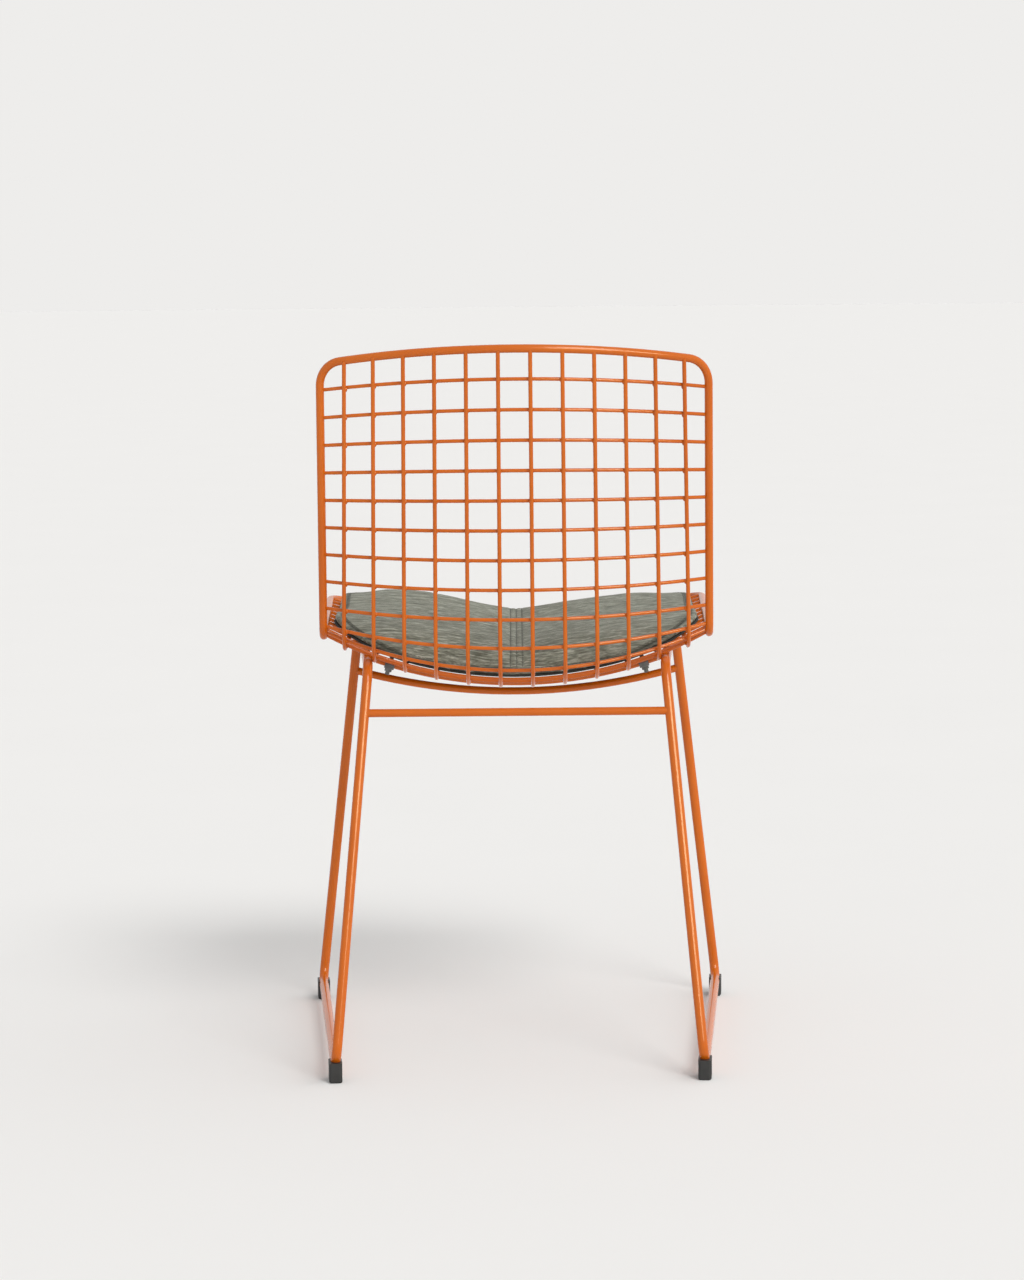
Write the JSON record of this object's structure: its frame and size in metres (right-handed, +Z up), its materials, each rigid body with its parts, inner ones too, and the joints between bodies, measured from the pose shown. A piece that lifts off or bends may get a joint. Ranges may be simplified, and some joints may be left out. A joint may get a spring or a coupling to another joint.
{
  "type": "dining chair",
  "caption": "Metal dining chair: a bent wire bucket with back and seat in one, on a sled base of round rod, with clip-on glides and a loose stitched seat pad.",
  "frame": {"origin": "on the floor, under the middle of the chair's bounding box", "axes": "+Z is up, -Y is the way the chair faces, +X is the sitter's left"},
  "size_m": [0.4922, 0.5414, 0.8005],
  "materials": {
    "powder_coat": "satin",
    "black_plastic": "satin",
    "zinc_steel": "satin",
    "pad_cover": "matte",
    "pad_underlay": "matte"
  },
  "bodies": {
    "chair": {"basket_rim": "powder_coat", "clamp_bolts": "zinc_steel", "clamp_hooks": "zinc_steel", "clamp_nuts": "zinc_steel", "clamp_plates": "zinc_steel", "cross_wire_01": "powder_coat", "cross_wire_02": "powder_coat", "cross_wire_03": "powder_coat", "cross_wire_04": "powder_coat", "cross_wire_05": "powder_coat", "cross_wire_06": "powder_coat", "cross_wire_07": "powder_coat", "cross_wire_08": "powder_coat", "cross_wire_09": "powder_coat", "cross_wire_10": "powder_coat", "cross_wire_11": "powder_coat", "cross_wire_12": "powder_coat", "cross_wire_13": "powder_coat", "cross_wire_14": "powder_coat", "cross_wire_15": "powder_coat", "cross_wire_16": "powder_coat", "cross_wire_17": "powder_coat", "cross_wire_18": "powder_coat", "cross_wire_19": "powder_coat", "cross_wire_20": "powder_coat", "cross_wire_21": "powder_coat", "cross_wire_22": "powder_coat", "cross_wire_23": "powder_coat", "front_bow_stretcher": "powder_coat", "front_left_glide": "black_plastic", "front_right_glide": "black_plastic", "left_side_frame": "powder_coat", "long_wire_left_1": "powder_coat", "long_wire_left_2": "powder_coat", "long_wire_left_3": "powder_coat", "long_wire_left_4": "powder_coat", "long_wire_left_5": "powder_coat", "long_wire_left_6": "powder_coat", "long_wire_right_1": "powder_coat", "long_wire_right_2": "powder_coat", "long_wire_right_3": "powder_coat", "long_wire_right_4": "powder_coat", "long_wire_right_5": "powder_coat", "long_wire_right_6": "powder_coat", "rear_cradle_bar": "powder_coat", "rear_left_glide": "black_plastic", "rear_right_glide": "black_plastic", "rear_stretcher": "powder_coat", "right_side_frame": "powder_coat"},
    "seat_pad": {"seat_pad": "pad_cover", "seat_pad_underlay": "pad_underlay"}
  },
  "joints": [
    {"name": "pad_lift", "type": "slide", "parent": "chair", "child": "seat_pad", "axis": [0, 0, 1], "range_m": [0, 0.45]}
  ]
}
